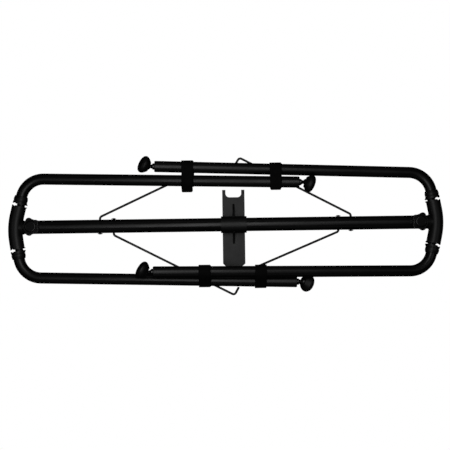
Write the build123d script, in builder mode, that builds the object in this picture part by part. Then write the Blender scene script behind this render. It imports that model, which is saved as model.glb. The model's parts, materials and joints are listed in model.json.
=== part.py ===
from build123d import *
import math
import os

os.makedirs("parts", exist_ok=True)

# Folding four-legged rack, stored folded and lying on the face of its centre saddle.
# Millimetres. X runs along the spine, Y across it, Z up. The legs swing up out of the fold.

# Overall
BRACKET_X = 469.5        # spine centre to the centre of each end bracket's crossbar
SHIFT = (0.0, 1.69, 18.6)  # spine axis from the model origin: centred, saddle on Z = 0
BRACKET_SKEW = {-1: -2.9, 1: -1.4}  # each crossbar out of square with its spigot, from above
BRACKET_TWIST = 2.4      # play of the brackets about the spine

# Tubes
SPINE_OD = 30.0
SPINE_WALL = 1.5
SPINE_END = 451.2        # spine centre to the cut end of the tube
LEG_OD = 25.0
LEG_WALL = 1.5
LEG_STRAIGHT = 568.5     # straight part of a leg, after its bend
BEND_R = 50.0            # centreline radius of the bend

# End bracket: a crossbar on an arc with a straight tip each way, and a spigot in the spine
BAR_OD = 32.0
BAR_ARC_R = 150.0
ARM_TILT = 11.2
JOINT_XY = (7.1, 50.4)   # leg joint, from the crossbar centre
SPIGOT_LEN = 57.0
SPIGOT_R = SPINE_OD / 2 - SPINE_WALL - 0.08

# Leg joint
GAP = 4.0                # see-through gap between arm and collar
CORE_R = 9.0             # spacer in the gap, off centre to leave the round relief clear
CORE_X = 3.2
RELIEF_R = 4.6           # round see-through relief across the gap, away from the middle
RELIEF_X = -10.7
LIP_R = 16.2             # pointed lips beside the gap, towards the middle
LIP_X = 1.3
PIN_R = 5.0
PIN_REACH = 16.0
COLLAR_LEN = 18.0
COLLAR_END = GAP / 2 + COLLAR_LEN
RUN = 0.06               # radial clearance of a turning fit

# Braces
WIRE_R = 2.5
WIRE_BEND = 6.0
HOOK_LEN = 20.0
HOOK_TURN = 88.0

# Clamp knobs
KNOB_X = 430.5
KNOB_R = 20.5
SCREW_R = 4.0
BOSS_TOP = 18.2

# Feet
PLUG_FACE = 1.8          # tube end to the plug's face
BALL_OUT = 17.0          # tube end to ball centre
BALL_R = 7.5
LINER_R = 9.5

# Centre saddle
SADDLE_X = 17.8
SADDLE_W = 50.0
SLEEVE_LEN = 57.0
SLEEVE_R = 18.6
PLATE_T = 4.0
PLATE_TOP = 79.0
PLATE_BOTTOM = -87.0
TONGUE_END = -127.0

# Straps
STRAP_W = 25.0
STRAP_T = 1.4
STRAP_GAP = 1.0

# Each leg: its bracket's side, its end of the crossbar, how far it lies above the fold,
# how far its bend differs from square, and the tilt of its foot (across, and up)
LEGS = {
    "leg_left_far": dict(side=-1, hand=1, raised=1.3, bend=1.4, foot=(-20.0, 0.0)),
    "leg_right_far": dict(side=1, hand=-1, raised=2.3, bend=0.4, foot=(24.0, 16.0)),
    "leg_left_near": dict(side=-1, hand=-1, raised=1.9, bend=-1.4, foot=(22.0, -30.0)),
    "leg_right_near": dict(side=1, hand=1, raised=5.3, bend=1.1, foot=(-31.0, 0.0)),
}
# Each brace: where it is hinged, the hand of its slope, how far from the spine's axis it
# turns, its slope, reach and drop
BRACES = {
    "brace_left_far": dict(x=-280.5, hand=1, stub=21.0, slope=25.1, reach=274.0, drop=3.0),
    "brace_right_far": dict(x=279.0, hand=-1, stub=20.0, slope=28.0, reach=280.0, drop=3.2),
    "brace_left_near": dict(x=-250.0, hand=-1, stub=20.0, slope=27.1, reach=301.0, drop=3.0),
    "brace_right_near": dict(x=251.0, hand=1, stub=18.5, slope=22.6, reach=288.0, drop=2.4),
}
# Each strap: its place along the spine and the two legs that it holds
STRAPS = {
    "strap_far_left": dict(x=-83.5, legs=("leg_left_far", "leg_right_far")),
    "strap_far_right": dict(x=112.5, legs=("leg_left_far", "leg_right_far")),
    "strap_near_left": dict(x=-47.5, legs=("leg_left_near", "leg_right_near")),
    "strap_near_right": dict(x=75.5, legs=("leg_left_near", "leg_right_near")),
}

SPINE = Location(SHIFT)


def save(name, solid, place=SPINE):
    """Write one node as its own STEP, set in its place."""
    node = solid.moved(place)
    node.label = name
    export_step(node, f"parts/{name}.step")


def bracket_place(side):
    """Crossbar centre, with X towards the middle of the spine."""
    twist = Rot(-side * BRACKET_TWIST, 0, 0)
    turn = BRACKET_SKEW[side] + (180 if side > 0 else 0)
    return SPINE * twist * Pos(side * BRACKET_X, 0, 0) * Rot(0, 0, turn)


def socket_place(side, hand):
    """Leg joint: Y runs along the arm, X towards the middle of the spine."""
    joint = Pos(JOINT_XY[0], hand * JOINT_XY[1], 0)
    return bracket_place(side) * joint * Rot(0, 0, -hand * ARM_TILT)


def leg_place(leg):
    """The joint's frame, turned up about the arm by the leg's own lift."""
    return socket_place(leg["side"], leg["hand"]) * Rot(0, -leg["raised"], 0)


def leg_end(leg):
    """End of the leg's tube in the leg's frame, and the tube's heading there in degrees."""
    hand = leg["hand"]
    turn = 90 - ARM_TILT - leg["bend"]
    swing = math.radians(turn)
    x = BEND_R * (1 - math.cos(swing)) + LEG_STRAIGHT * math.sin(swing)
    y = COLLAR_END + BEND_R * math.sin(swing) + LEG_STRAIGHT * math.cos(swing)
    return x, hand * y, hand * (90 - turn)


def foot_place(leg, distance=BALL_OUT):
    """A point on the leg's line beyond its tube end, X pointing away from the tube."""
    x, y, heading = leg_end(leg)
    return leg_place(leg) * Pos(x, y, 0) * Rot(0, 0, heading) * Pos(distance, 0, 0)


def brace_place(brace):
    """The brace's hinge in the spine, X towards the middle, turned down by its drop."""
    turn = Rot(0, 0, 180 if brace["x"] > 0 else 0)
    return SPINE * Pos(brace["x"], 0, 0) * turn * Rot(0, brace["drop"], 0)


def leg_centre_at(leg, x):
    """Y and Z of the leg's straight centreline where it passes the place x along the spine."""
    end = foot_place(leg, 0).position
    back = foot_place(leg, -LEG_STRAIGHT).position
    part_way = (x - back.X) / (end.X - back.X)
    return back.Y + part_way * (end.Y - back.Y), back.Z + part_way * (end.Z - back.Z)


def turned(outline):
    """A solid of revolution about X. The outline lists (distance along X, radius)."""
    first, last = outline[0], outline[-1]
    with BuildPart() as made:
        with BuildSketch(Plane.XY):
            with BuildLine():
                Polyline((first[0], 0), *outline, (last[0], 0), close=True)
            make_face()
        revolve(axis=Axis.X)
    return made.part


# ---------------------------------------------------------------- spine and end brackets
def spine_tube():
    """The long tube, with a cross hole for each brace and a top hole for each clamp."""
    with BuildPart() as spine:
        Cylinder(SPINE_OD / 2, 2 * SPINE_END, rotation=(0, 90, 0))
        Cylinder(SPINE_OD / 2 - SPINE_WALL, 2 * SPINE_END, rotation=(0, 90, 0),
                 mode=Mode.SUBTRACT)
        for brace in BRACES.values():
            with Locations((brace["x"], 0, 0)):
                Cylinder(WIRE_R + RUN, SPINE_OD + 10, rotation=(90, 0, 0),
                         mode=Mode.SUBTRACT)
        with Locations((-KNOB_X, 0, SPINE_OD / 2), (KNOB_X, 0, SPINE_OD / 2)):
            Cylinder(SCREW_R + 0.3, 10, mode=Mode.SUBTRACT)
    return spine.part


def end_bracket(side):
    """The moulded crossbar with its spigot, in the bracket's frame."""
    tilt = math.radians(ARM_TILT)
    arc_end = (BAR_ARC_R * (1 - math.cos(tilt)), BAR_ARC_R * math.sin(tilt))
    reach = (JOINT_XY[1] - arc_end[1]) / math.cos(tilt) - GAP / 2
    tip = (arc_end[0] + reach * math.sin(tilt), arc_end[1] + reach * math.cos(tilt))
    with BuildPart() as bracket:
        with BuildLine() as bar:
            Polyline((tip[0], -tip[1]), (arc_end[0], -arc_end[1]))
            ThreePointArc((arc_end[0], -arc_end[1]), (0, 0), arc_end)
            Polyline(arc_end, tip)
        with BuildSketch(Plane(origin=bar.line @ 0, z_dir=bar.line % 0)):
            Circle(BAR_OD / 2)
        sweep(path=bar.line)
        for hand in (1, -1):
            socket = Pos(JOINT_XY[0], hand * JOINT_XY[1], 0) * Rot(0, 0, -hand * ARM_TILT)
            with Locations(socket):
                with Locations((LIP_X, -hand * (GAP / 2 + 0.9), 0)):
                    Cylinder(LIP_R, 1.8, rotation=(90, 0, 0))
                with Locations((0, -hand * 9, 0)):
                    Cylinder(PIN_R, 18, rotation=(90, 0, 0), mode=Mode.SUBTRACT)
                with Locations((RELIEF_X, 0, 0)):
                    Cylinder(RELIEF_R, 60, mode=Mode.SUBTRACT)
        with Locations(Rot(0, 0, -BRACKET_SKEW[side])):
            with Locations((BRACKET_X - SPINE_END - 2.2, 0, 0)):
                Cylinder(SPINE_OD / 2 + 1.2, 4, rotation=(0, 90, 0))
            with Locations((SPIGOT_LEN / 2, 0, 0)):
                Cylinder(SPIGOT_R, SPIGOT_LEN, rotation=(0, 90, 0))
            with Locations((BRACKET_X - KNOB_X, 0, 0)):
                Cylinder(SPIGOT_R + 1, 11, rotation=(0, 90, 0), mode=Mode.SUBTRACT)
                Cylinder(SPIGOT_R - 0.6, 11, rotation=(0, 90, 0))
    return bracket.part


# ---------------------------------------------------------------- clamp knobs
def clamp_boss():
    """The threaded boss that sits on the spine's crown."""
    with BuildPart() as boss:
        with Locations((0, 0, BOSS_TOP - 4)):
            Cylinder(8, 8)
        Cylinder(SCREW_R + RUN, 60, mode=Mode.SUBTRACT)
        Cylinder(SPINE_OD / 2, 60, rotation=(0, 90, 0), mode=Mode.SUBTRACT)
    return boss.part


def clamp_washer():
    """The flat washer under the knob."""
    with BuildPart() as washer:
        with Locations((0, 0, BOSS_TOP + 0.75)):
            Cylinder(9.5, 1.1)
            Cylinder(SCREW_R + 0.3, 3, mode=Mode.SUBTRACT)
    return washer.part


def clamp_screw():
    """The screw that is moulded into the knob and bears on the spigot."""
    with BuildPart() as screw:
        with Locations((0, 0, SPIGOT_R + 0.2)):
            Cylinder(SCREW_R, 17, align=(Align.CENTER, Align.CENTER, Align.MIN))
        chamfer(screw.faces().sort_by(Axis.Z)[0].edges(), 0.5)
    return screw.part


def clamp_knob():
    """A five-lobed knob with a raised, domed cap set in a ring groove."""
    low = BOSS_TOP + 1.6
    top = low + 12
    with BuildPart() as knob:
        with BuildSketch(Plane.XY.offset(low + 3)):
            Circle(KNOB_R - 3.6)
            with PolarLocations(KNOB_R - 7.4, 5, start_angle=18):
                Circle(7.4)
        extrude(amount=9)
        fillet(knob.faces().sort_by(Axis.Z)[-1].edges(), 1.8)
        with Locations((0, 0, low + 1.5)):
            Cylinder(9, 3.2)
        with Locations((0, 0, top)):
            Cylinder(14.6, 3, mode=Mode.SUBTRACT)
            Cylinder(12.9, 7.2)
        fillet(knob.faces().sort_by(Axis.Z)[-1].edges(), 3.2)
        with Locations((0, 0, SPIGOT_R + 0.2)):
            Cylinder(SCREW_R, 17, align=(Align.CENTER, Align.CENTER, Align.MIN),
                     mode=Mode.SUBTRACT)
    return knob.part


# ---------------------------------------------------------------- legs
def pivot_pin(hand):
    """The pin on which the collar turns, with the spacer that shows in the joint's gap."""
    pin = turned([(-15, PIN_R), (PIN_REACH - 0.8, PIN_R), (PIN_REACH, PIN_R - 0.8)])
    with BuildPart() as made:
        add(pin.rotate(Axis.Z, hand * 90))
        with Locations((CORE_X, -hand * 0.1, 0)):
            Cylinder(CORE_R, GAP - 0.2, rotation=(90, 0, 0))
    return made.part


def leg_collar(hand):
    """The moulded end of a leg: it turns on the pin and holds the tube."""
    face = GAP / 2
    ring = turned([(face, 16), (face + 5, 16), (face + 5.8, 14.8), (face + 7, 14.8),
                   (face + 7.8, 15.6), (face + 12, 15.6), (COLLAR_END - 0.8, 14.4),
                   (COLLAR_END, 13.6)]).rotate(Axis.Z, hand * 90)
    with BuildPart() as collar:
        add(ring)
        with Locations((LIP_X, hand * (face + 0.9), 0)):
            Cylinder(LIP_R, 1.8, rotation=(90, 0, 0))
        with Locations((0, hand * 8, 0)):
            Cylinder(PIN_R + RUN, 17, rotation=(90, 0, 0), mode=Mode.SUBTRACT)
        with Locations((0, hand * (COLLAR_END - 1.5), 0)):
            Cylinder(LEG_OD / 2, 3, rotation=(90, 0, 0), mode=Mode.SUBTRACT)
        with Locations((RELIEF_X, 0, 0)):
            Cylinder(RELIEF_R, 60, mode=Mode.SUBTRACT)
    return collar.part


def leg_tube(leg):
    """The bent tube, from inside its collar to its cut end."""
    hand = leg["hand"]
    x, y, heading = leg_end(leg)
    ahead = math.radians(heading)
    bend_end = (x - LEG_STRAIGHT * math.cos(ahead), y - LEG_STRAIGHT * math.sin(ahead))
    with BuildPart() as tube:
        with BuildLine() as centre:
            Line((0, hand * (COLLAR_END - 3)), (0, hand * COLLAR_END))
            TangentArc((0, hand * COLLAR_END), bend_end, tangent=(0, hand))
            Line(bend_end, (x, y))
        with BuildSketch(Plane(origin=centre.line @ 0, z_dir=centre.line % 0)):
            Circle(LEG_OD / 2)
            Circle(LEG_OD / 2 - LEG_WALL, mode=Mode.SUBTRACT)
        sweep(path=centre.line)
    return tube.part


# ---------------------------------------------------------------- feet, X away from the leg
def end_plug():
    """The plug in the tube's end, with its rim."""
    return turned([(-18, LEG_OD / 2 - LEG_WALL), (0, LEG_OD / 2 - LEG_WALL), (0, 11.9),
                   (1.2, 11.9), (PLUG_FACE, 11.2)])


def foot_stud():
    """The locknut, waisted neck and ball of a foot, about the ball's centre."""
    neck, lead = 3.8, math.sqrt(BALL_R**2 - 3.8**2)
    start = PLUG_FACE - BALL_OUT
    with BuildPart() as stud:
        with BuildSketch(Plane.XY):
            with BuildLine():
                Polyline((BALL_R, 0), (start, 0), (start, 6.6), (start + 0.6, 7.0),
                         (start + 3.6, 7.0), (start + 4.4, 5.6), (start + 6.4, 4.4),
                         (-lead - 0.6, neck), (-lead, neck))
                ThreePointArc((-lead, neck), (0, BALL_R), (BALL_R, 0))
            make_face()
        revolve(axis=Axis.X)
    return stud.part


def foot_liner():
    """The hard cup between the ball and the rubber."""
    with BuildPart() as liner:
        Sphere(LINER_R)
        Sphere(BALL_R + RUN, mode=Mode.SUBTRACT)
        with Locations((-3.2, 0, 0)):
            Box(20, 30, 30, align=(Align.MAX, Align.CENTER, Align.CENTER),
                mode=Mode.SUBTRACT)
    return liner.part


def foot_pad():
    """The bell-shaped rubber foot with a domed sole."""
    bell = turned([(-3.2, 11.2), (-1.0, 13.2), (2.5, 16.6), (6.5, 19.0), (9.5, 19.7),
                   (12.5, 19.4), (16.0, 17.0), (18.4, 12.5), (19.8, 6.5), (20.2, 0.5)])
    with BuildPart() as pad:
        add(bell)
        Sphere(LINER_R + RUN, mode=Mode.SUBTRACT)
    return pad.part


# ---------------------------------------------------------------- wire braces
def brace_corners(brace):
    """The brace's route in its own frame: pivot end, stub corner, hook corner, hook end."""
    hand, slope = brace["hand"], math.radians(brace["slope"])
    stub = (0, hand * brace["stub"])
    hook = (brace["reach"] * math.cos(slope),
            hand * (brace["stub"] + brace["reach"] * math.sin(slope)))
    back = slope - math.radians(HOOK_TURN)
    end = (hook[0] + HOOK_LEN * math.cos(back), hook[1] + hand * HOOK_LEN * math.sin(back))
    return (0, -hand * (SPINE_OD / 2 + 3)), stub, hook, end


def wire_brace(brace):
    """A bent wire: a pivot through the spine, a long slant and a short hook."""
    with BuildPart() as wire:
        with BuildLine() as route:
            FilletPolyline(*brace_corners(brace), radius=WIRE_BEND)
        with BuildSketch(Plane(origin=route.line @ 0, z_dir=route.line % 0)):
            Circle(WIRE_R)
        sweep(path=route.line)
    return wire.part


def brace_clip(brace):
    """The push-on retainer that keeps the pivot end in the spine."""
    y = -brace["hand"] * (SPINE_OD / 2 + 1.3)
    with BuildPart() as clip:
        with Locations((0, y, 0)):
            Cylinder(5.2, 1.6, rotation=(90, 0, 0))
            Cylinder(WIRE_R, 4, rotation=(90, 0, 0), mode=Mode.SUBTRACT)
    return clip.part


# ---------------------------------------------------------------- centre saddle
def centre_saddle():
    """A sleeve on the spine with a backing plate: fork one way, tongue the other."""
    half = SADDLE_W / 2
    fork, fork_depth, tongue = 17.75, 16.7, 12.0
    with BuildPart() as saddle:
        with BuildSketch(Plane.XY.offset(-SLEEVE_R)):
            with BuildLine():
                Polyline((-half, PLATE_TOP), (-half, PLATE_BOTTOM),
                         (-tongue - 5, PLATE_BOTTOM - 7), (-tongue, PLATE_BOTTOM - 14),
                         (-tongue, TONGUE_END + 8), (-tongue + 8, TONGUE_END),
                         (tongue - 8, TONGUE_END), (tongue, TONGUE_END + 8),
                         (tongue, PLATE_BOTTOM - 14), (tongue + 5, PLATE_BOTTOM - 7),
                         (half, PLATE_BOTTOM), (half, PLATE_TOP), close=True)
            make_face()
            with Locations((0, PLATE_TOP)):
                RectangleRounded(2 * fork, 2 * fork_depth, 9.0, mode=Mode.SUBTRACT)
        extrude(amount=PLATE_T)
        Cylinder(SLEEVE_R, SLEEVE_LEN, rotation=(0, 90, 0))
        with BuildSketch(Plane.YZ.offset(-2.3)):
            Polygon((10, -SLEEVE_R + 1), (47, -SLEEVE_R + 1), (47, -SLEEVE_R + 6), (17, 8),
                    (10, 8), align=None)
            Polygon((-10, -SLEEVE_R + 1), (-42, -SLEEVE_R + 1), (-42, -SLEEVE_R + 6),
                    (-17, 8), (-10, 8), align=None)
        extrude(amount=4.6)
        Cylinder(SPINE_OD / 2, SLEEVE_LEN + 10, rotation=(0, 90, 0), mode=Mode.SUBTRACT)
    return saddle.part


# ---------------------------------------------------------------- straps
def strap(band):
    """A webbing loop around two legs, with a short tail past the far side."""
    (y0, z0), (y1, z1) = (leg_centre_at(LEGS[name], band["x"]) for name in band["legs"])
    between = math.hypot(y1 - y0, z1 - z0)
    lean = math.degrees(math.atan2(z1 - z0, y1 - y0))
    inside = LEG_OD + 2 * STRAP_GAP
    section = Plane.YZ.offset(band["x"] - STRAP_W / 2)
    with BuildPart() as loop:
        with BuildSketch(section):
            with Locations(((y0 + y1) / 2, (z0 + z1) / 2)):
                SlotCenterToCenter(between, inside + 2 * STRAP_T, rotation=lean)
                SlotCenterToCenter(between, inside, rotation=lean, mode=Mode.SUBTRACT)
        extrude(amount=STRAP_W)
    return loop.part


# ---------------------------------------------------------------- write every node
save("spine_tube", spine_tube())
save("centre_saddle", centre_saddle(), SPINE * Pos(SADDLE_X, 0, 0))

for side, word in ((-1, "left"), (1, "right")):
    save(f"end_bracket_{word}", end_bracket(side), bracket_place(side))
    clamp = SPINE * Pos(side * KNOB_X, 0, 0)
    save(f"clamp_boss_{word}", clamp_boss(), clamp)
    save(f"clamp_washer_{word}", clamp_washer(), clamp)
    lobe_turn = Rot(0, 0, 90 if side < 0 else -90)
    save(f"clamp_screw_{word}", clamp_screw(), clamp * lobe_turn)
    save(f"clamp_knob_{word}", clamp_knob(), clamp * lobe_turn)

for name, leg in LEGS.items():
    word = name.removeprefix("leg_")
    at = leg_place(leg)
    save(f"pivot_pin_{word}", pivot_pin(leg["hand"]), socket_place(leg["side"], leg["hand"]))
    save(f"leg_collar_{word}", leg_collar(leg["hand"]), at)
    save(f"leg_tube_{word}", leg_tube(leg), at)
    save(f"end_plug_{word}", end_plug(), foot_place(leg, 0))
    save(f"foot_stud_{word}", foot_stud(), foot_place(leg))
    across, up = leg["foot"]
    swing = foot_place(leg) * Rot(0, 0, leg["hand"] * across)
    save(f"foot_liner_{word}", foot_liner(), swing)
    save(f"foot_pad_{word}", foot_pad(), swing * Rot(0, -up, 0))

for name, brace in BRACES.items():
    save(name, wire_brace(brace), brace_place(brace))
    save(name.replace("brace", "brace_clip"), brace_clip(brace), brace_place(brace))

for name, band in STRAPS.items():
    save(name, strap(band), Location((0, 0, 0)))
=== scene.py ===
import json
import math

import bmesh
import bpy
from mathutils import Matrix, Vector

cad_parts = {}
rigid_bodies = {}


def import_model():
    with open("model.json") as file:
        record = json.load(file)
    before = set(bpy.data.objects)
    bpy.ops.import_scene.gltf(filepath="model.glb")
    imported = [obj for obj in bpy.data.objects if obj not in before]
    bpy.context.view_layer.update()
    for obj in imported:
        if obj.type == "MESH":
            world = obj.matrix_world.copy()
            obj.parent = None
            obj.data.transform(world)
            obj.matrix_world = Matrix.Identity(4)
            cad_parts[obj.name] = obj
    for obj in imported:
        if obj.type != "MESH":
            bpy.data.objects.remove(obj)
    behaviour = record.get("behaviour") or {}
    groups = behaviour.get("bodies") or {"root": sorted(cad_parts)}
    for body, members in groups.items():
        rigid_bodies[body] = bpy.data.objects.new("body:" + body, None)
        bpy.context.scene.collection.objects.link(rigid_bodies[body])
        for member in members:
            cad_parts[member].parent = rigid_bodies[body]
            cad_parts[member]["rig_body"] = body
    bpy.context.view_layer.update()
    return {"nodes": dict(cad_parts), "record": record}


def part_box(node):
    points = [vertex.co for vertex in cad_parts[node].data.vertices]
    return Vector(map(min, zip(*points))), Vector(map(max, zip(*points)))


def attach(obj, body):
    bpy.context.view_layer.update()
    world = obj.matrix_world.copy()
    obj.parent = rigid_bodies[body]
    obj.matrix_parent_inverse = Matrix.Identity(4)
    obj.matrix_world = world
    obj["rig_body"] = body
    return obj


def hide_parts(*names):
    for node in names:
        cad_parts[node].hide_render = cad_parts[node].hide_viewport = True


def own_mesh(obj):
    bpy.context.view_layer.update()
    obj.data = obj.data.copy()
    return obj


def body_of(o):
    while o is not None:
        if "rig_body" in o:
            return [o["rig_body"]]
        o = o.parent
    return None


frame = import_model()
nodes = frame["nodes"]


def centre(node):
    """Middle of a CAD node's box."""
    a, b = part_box(node)
    return (a + b) / 2


# ---------------------------------------------------------------- materials
def material(name, colour, roughness, metallic=0.0, specular=0.5):
    """A Principled material, returned with its node tree and shader."""
    made = bpy.data.materials.new(name)
    made.use_nodes = True
    shader = made.node_tree.nodes["Principled BSDF"]
    shader.inputs["Base Color"].default_value = (*colour, 1)
    shader.inputs["Roughness"].default_value = roughness
    shader.inputs["Metallic"].default_value = metallic
    shader.inputs["Specular IOR Level"].default_value = specular
    return made, made.node_tree, shader


def node(tree, kind, **values):
    """A shader node with its inputs or properties set by name."""
    made = tree.nodes.new(kind)
    for key, value in values.items():
        if key in made.inputs:
            made.inputs[key].default_value = value
        else:
            setattr(made, key, value)
    return made


def surface_grain(tree, shader, scale, strength, distance=0.0002):
    """Fine noise in the surface's height, in the object's own metres. Returns the coordinates."""
    place = tree.nodes.new("ShaderNodeTexCoord")
    noise = node(tree, "ShaderNodeTexNoise", Scale=scale, Detail=4.0)
    bump = node(tree, "ShaderNodeBump", Strength=strength, Distance=distance)
    tree.links.new(place.outputs["Object"], noise.inputs["Vector"])
    tree.links.new(noise.outputs["Fac"], bump.inputs["Height"])
    tree.links.new(bump.outputs["Normal"], shader.inputs["Normal"])
    return place


def vary(tree, shader, place, scale, socket, lowest, highest):
    """Let slow noise carry a roughness or a colour between two values."""
    noise = node(tree, "ShaderNodeTexNoise", Scale=scale, Detail=3.0)
    tree.links.new(place.outputs["Object"], noise.inputs["Vector"])
    if socket == "Base Color":
        ramp = tree.nodes.new("ShaderNodeValToRGB")
        ramp.color_ramp.elements[0].position = 0.35
        ramp.color_ramp.elements[1].position = 0.65
        ramp.color_ramp.elements[0].color = (*lowest, 1)
        ramp.color_ramp.elements[1].color = (*highest, 1)
        tree.links.new(noise.outputs["Fac"], ramp.inputs["Fac"])
        tree.links.new(ramp.outputs["Color"], shader.inputs[socket])
    else:
        reach = node(tree, "ShaderNodeMapRange")
        reach.inputs["To Min"].default_value = lowest
        reach.inputs["To Max"].default_value = highest
        tree.links.new(noise.outputs["Fac"], reach.inputs["Value"])
        tree.links.new(reach.outputs["Result"], shader.inputs[socket])


def powder_coat():
    """Satin black coat on the tubes, with slow changes in its gloss."""
    made, tree, shader = material("powder_coat", (0.003, 0.003, 0.0032), 0.36)
    place = surface_grain(tree, shader, 900, 0.12)
    vary(tree, shader, place, 9, "Roughness", 0.2, 0.52)
    return made


def moulded():
    """Fine-grained black nylon of the brackets, collars, plugs and saddle."""
    made, tree, shader = material("moulded_plastic", (0.006, 0.006, 0.0063), 0.44)
    place = surface_grain(tree, shader, 1500, 0.3)
    vary(tree, shader, place, 40, "Roughness", 0.4, 0.5)
    return made


def knob_plastic():
    """Smoother black plastic of the clamp knobs and foot liners."""
    made, tree, shader = material("knob_plastic", (0.004, 0.004, 0.0042), 0.28)
    surface_grain(tree, shader, 1200, 0.1)
    return made


def glossy_black():
    """Glossy black of the foot studs."""
    made, tree, shader = material("glossy_black", (0.004, 0.004, 0.0042), 0.16)
    surface_grain(tree, shader, 600, 0.08)
    return made


def blackened_steel():
    """Dark steel of the pins, clips and clamp hardware."""
    made, tree, shader = material("blackened_steel", (0.02, 0.02, 0.021), 0.35, metallic=1.0)
    surface_grain(tree, shader, 1500, 0.1)
    return made


def rubber():
    """Mottled black rubber of the feet."""
    made, tree, shader = material("foot_rubber", (0.004, 0.004, 0.004), 0.5)
    place = surface_grain(tree, shader, 420, 0.5, distance=0.0006)
    vary(tree, shader, place, 160, "Roughness", 0.3, 0.62)
    return made


def webbing():
    """Woven tape: ribs across the width and finer twill along it, by the tape's own UVs in metres."""
    made, tree, shader = material("webbing", (0.0022, 0.0022, 0.0023), 0.8, specular=0.25)
    uv = tree.nodes.new("ShaderNodeUVMap")
    ribs = node(tree, "ShaderNodeTexWave", Scale=260.0, Distortion=1.2)
    ribs.inputs["Detail Scale"].default_value = 3.0
    twill = node(tree, "ShaderNodeTexWave", Scale=120.0, Distortion=0.6)
    twill.bands_direction = "DIAGONAL"
    both = node(tree, "ShaderNodeMath", operation="ADD")
    bump = node(tree, "ShaderNodeBump", Strength=0.6, Distance=0.0004)
    for wave, end in ((ribs, 0), (twill, 1)):
        tree.links.new(uv.outputs["UV"], wave.inputs["Vector"])
        tree.links.new(wave.outputs["Fac"], both.inputs[end])
    tree.links.new(both.outputs["Value"], bump.inputs["Height"])
    tree.links.new(bump.outputs["Normal"], shader.inputs["Normal"])
    place = tree.nodes.new("ShaderNodeTexCoord")
    vary(tree, shader, place, 90, "Base Color", (0.0012, 0.0012, 0.0013), (0.0034, 0.0034, 0.0035))
    return made


FINISH = {
    "black_powder_coat": powder_coat(),
    "moulded_black": moulded(),
    "knob_black": knob_plastic(),
    "stud_black": glossy_black(),
    "pin_steel": blackened_steel(),
    "foot_rubber": rubber(),
    "wire_black": powder_coat(),
    "webbing_black": webbing(),
}
for part in frame["record"]["subparts"]:
    piece = nodes[part["node"]]
    piece.data.materials.clear()
    piece.data.materials.append(FINISH[part["material_slot"]])


# ---------------------------------------------------------------- straps
TAPE_WIDTH = 0.025
TAPE_THICK = 0.0012
TAPE_STEP = 0.0012      # between two rows of the tape's mesh
TAPE_COLUMNS = 12       # faces across the width
LEG_RADIUS = 0.0125
LEAVE_ANGLE = 52        # where the free end leaves the second tube, in degrees
END_DROOP = 0.0016      # how far the free end hangs below a straight line
END_ROWS = 5            # rows over which the free end's corners are cut
CORNER_CUT = 0.0022
# name: (leg it hangs on, other leg, free end's reach past the tube, skew along its length)
STRAPS = {
    "strap_far_left": ("leg_left_far", "leg_right_far", 0.0105, -0.0016),
    "strap_far_right": ("leg_left_far", "leg_right_far", 0.0050, -0.0012),
    "strap_near_left": ("leg_right_near", "leg_left_near", 0.0048, -0.0012),
    "strap_near_right": ("leg_right_near", "leg_left_near", 0.0026, -0.0006),
}


def tube_centre(leg, x):
    """Middle, in y and z, of the leg tube's slice at x."""
    mesh = nodes["leg_tube_" + leg.removeprefix("leg_")].data
    cuts = []
    for edge in mesh.edges:
        a, b = (mesh.vertices[i].co for i in edge.vertices)
        if (a.x - x) * (b.x - x) < 0:
            cuts.append(a.lerp(b, (x - a.x) / (b.x - a.x)))
    ys, zs = [c.y for c in cuts], [c.z for c in cuts]
    return Vector((0, (min(ys) + max(ys)) / 2, (min(zs) + max(zs)) / 2))


def tape_path(start, finish, reach):
    """Centre line of a tape wound one and a half times round two tubes.

    start and finish are the tubes' middles. The tape begins under them, goes round start, over the
    top, round finish, back underneath and round start again, then over the top and off finish's side.
    """
    along = (finish - start).normalized()
    up = Vector((0, -along.z, along.y)) if along.y > 0 else Vector((0, along.z, -along.y))
    points = []

    def arc(hub, radius, first, last, steps=14):
        for i in range(steps + 1):
            turn = math.radians(first + (last - first) * i / steps)
            points.append(hub + radius * (math.cos(turn) * along + math.sin(turn) * up))

    inner = LEG_RADIUS + TAPE_THICK * 0.75
    outer = inner + TAPE_THICK * 1.2
    bottom = (start + finish) / 2 - inner * up
    points.append(bottom + 0.004 * along)
    points.append(bottom - 0.002 * along)
    arc(start, inner, 270, 90)
    dip = (start + finish) / 2 + (inner - 0.0006) * up
    points.append(dip)
    arc(finish, inner, 90, -90)
    points.append((start + finish) / 2 - (outer - 0.0003) * up)
    arc(start, outer, 270, 90)
    points.append(dip + TAPE_THICK * 1.25 * up)
    arc(finish, outer, 90, LEAVE_ANGLE, 5)
    last = points[-1]
    off = math.radians(LEAVE_ANGLE - 90)
    heading = math.cos(off) * along + math.sin(off) * up
    length = (outer + reach - (last - finish).dot(along)) / heading.dot(along)
    for i in range(1, 7):
        share = i / 6
        points.append(last + heading * length * share - up * END_DROOP * share * share)
    return points


def even(points, step):
    """The same line with its points a step apart."""
    out, left = [points[0]], 0.0
    for a, b in zip(points, points[1:]):
        run = (b - a).length
        at = step - left
        while at < run:
            out.append(a.lerp(b, at / run))
            at += step
        left = run - (at - step)
    return out


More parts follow.
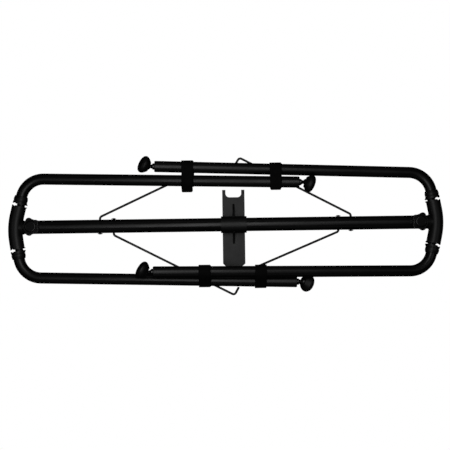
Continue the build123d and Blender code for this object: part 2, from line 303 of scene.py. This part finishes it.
def tape_mesh(name, x, line, skew):
    """The tape as one row of points across its width at each point of the line."""
    rows = len(line)
    bm = bmesh.new()
    grid = []
    for i, point in enumerate(line):
        share = i / (rows - 1)
        near_end = max(0.0, (i - (rows - END_ROWS)) / (END_ROWS - 1))
        half = TAPE_WIDTH / 2 - CORNER_CUT * near_end ** 1.5
        shift = skew * (share - 0.5) * 2 + 0.00025 * math.sin(i * 0.35)
        row = []
        for j in range(TAPE_COLUMNS + 1):
            side = 2 * j / TAPE_COLUMNS - 1
            ripple = 0.00016 * math.sin(i * 0.22 + j * 0.9)
            spot = (x + shift + side * half, point.y, point.z + ripple * share)
            row.append(bm.verts.new(spot))
        grid.append(row)
    layer = bm.loops.layers.uv.new("tape")
    corners = ((0, 0), (0, 1), (1, 1), (1, 0))
    for i in range(rows - 1):
        for j in range(TAPE_COLUMNS):
            face = bm.faces.new([grid[i + di][j + dj] for di, dj in corners])
            face.smooth = True
            for loop, (di, dj) in zip(face.loops, corners):
                loop[layer].uv = ((j + dj) / TAPE_COLUMNS * TAPE_WIDTH, (i + di) * TAPE_STEP)
    mesh = bpy.data.meshes.new(name)
    bm.to_mesh(mesh)
    bm.free()
    return mesh


def tape(name, held_leg, other_leg, reach, skew):
    """A strap as a woven tape round two legs, with its free end on the side that shows."""
    x = centre(name).x
    held, other = tube_centre(held_leg, x), tube_centre(other_leg, x)
    free_side_first = sorted((held, other), key=lambda p: abs(p.y), reverse="near" in name)
    finish, start = free_side_first
    line = even(tape_path(start, finish, reach), TAPE_STEP)
    mesh = tape_mesh(name + "_tape", x, line, skew)
    mesh.materials.append(FINISH["webbing_black"])
    piece = bpy.data.objects.new(name + "_tape", mesh)
    bpy.context.collection.objects.link(piece)
    thicken = piece.modifiers.new("thickness", "SOLIDIFY")
    thicken.thickness = TAPE_THICK
    thicken.offset = 0
    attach(piece, body_of(nodes[name])[0])
    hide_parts(name)
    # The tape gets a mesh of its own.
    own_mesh(piece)


for name, fit in STRAPS.items():
    tape(name, *fit)


# ---------------------------------------------------------------- light, background, camera
def area_light(name, place, target, size, power):
    """A rectangular light at place, turned to face target."""
    data = bpy.data.lights.new(name, "AREA")
    data.shape = "RECTANGLE"
    data.size, data.size_y = size
    data.energy = power
    lamp = bpy.data.objects.new(name, data)
    bpy.context.collection.objects.link(lamp)
    lamp.location = place
    lamp.rotation_euler = (Vector(target) - Vector(place)).to_track_quat("-Z", "Y").to_euler()


def white_beyond():
    """The camera sees plain white past the object, and the object sees almost nothing."""
    world = bpy.data.worlds.new("surround")
    bpy.context.scene.world = world
    world.use_nodes = True
    tree = world.node_tree
    ground = tree.nodes["Background"]
    seen = node(tree, "ShaderNodeBackground", Color=(1, 1, 1, 1), Strength=1.0)
    ground.inputs["Color"].default_value = (1, 1, 1, 1)
    ground.inputs["Strength"].default_value = 0.006
    path = tree.nodes.new("ShaderNodeLightPath")
    mix = tree.nodes.new("ShaderNodeMixShader")
    tree.links.new(path.outputs["Is Camera Ray"], mix.inputs["Fac"])
    tree.links.new(ground.outputs["Background"], mix.inputs[1])
    tree.links.new(seen.outputs["Background"], mix.inputs[2])
    tree.links.new(mix.outputs["Shader"], tree.nodes["World Output"].inputs["Surface"])


white_beyond()

middle = centre("spine_tube")
area_light("top_softbox", (-0.06, middle.y + 0.02, 1.5), (0, middle.y, 0), (1.5, 0.4), 4.4)
for side in (-1, 1):
    bracket = (side * 0.46, middle.y, 0.03)
    area_light("end_softbox", (side * 1.15, middle.y, 1.0), bracket, (0.4, 0.5), 0.35)
    area_light("side_strip", (0, side * 1.6, 0.75), (0, 0, 0.04), (1.6, 0.3), 0.3)

# The camera looks down on the fold. Lengths are in metres, at the height of the spine.
FIELD = 1.0045            # width seen
DISTANCE = 2.4
TILT = math.radians(3.0)  # from straight above, towards the near side
ROLL = math.radians(-0.78)
RIGHT_OF_CENTRE = 0.0018  # where the spine's middle lies in the view
ABOVE_CENTRE = 0.0007
SENSOR = 36               # in mm

camera_data = bpy.data.cameras.new("camera")
camera = bpy.data.objects.new("camera", camera_data)
bpy.context.collection.objects.link(camera)
bpy.context.scene.camera = camera
camera_data.sensor_width = SENSOR
camera_data.lens = SENSOR * DISTANCE / FIELD
turn = Matrix.Rotation(ROLL, 4, "Z") @ Matrix.Rotation(TILT, 4, "X")
camera.matrix_world = Matrix.Translation(middle) @ turn @ Matrix.Translation((0, 0, DISTANCE))
camera_data.shift_x = -RIGHT_OF_CENTRE / FIELD
camera_data.shift_y = -ABOVE_CENTRE / FIELD

bpy.context.scene.view_settings.view_transform = "Standard"
bpy.context.scene.view_settings.look = "None"
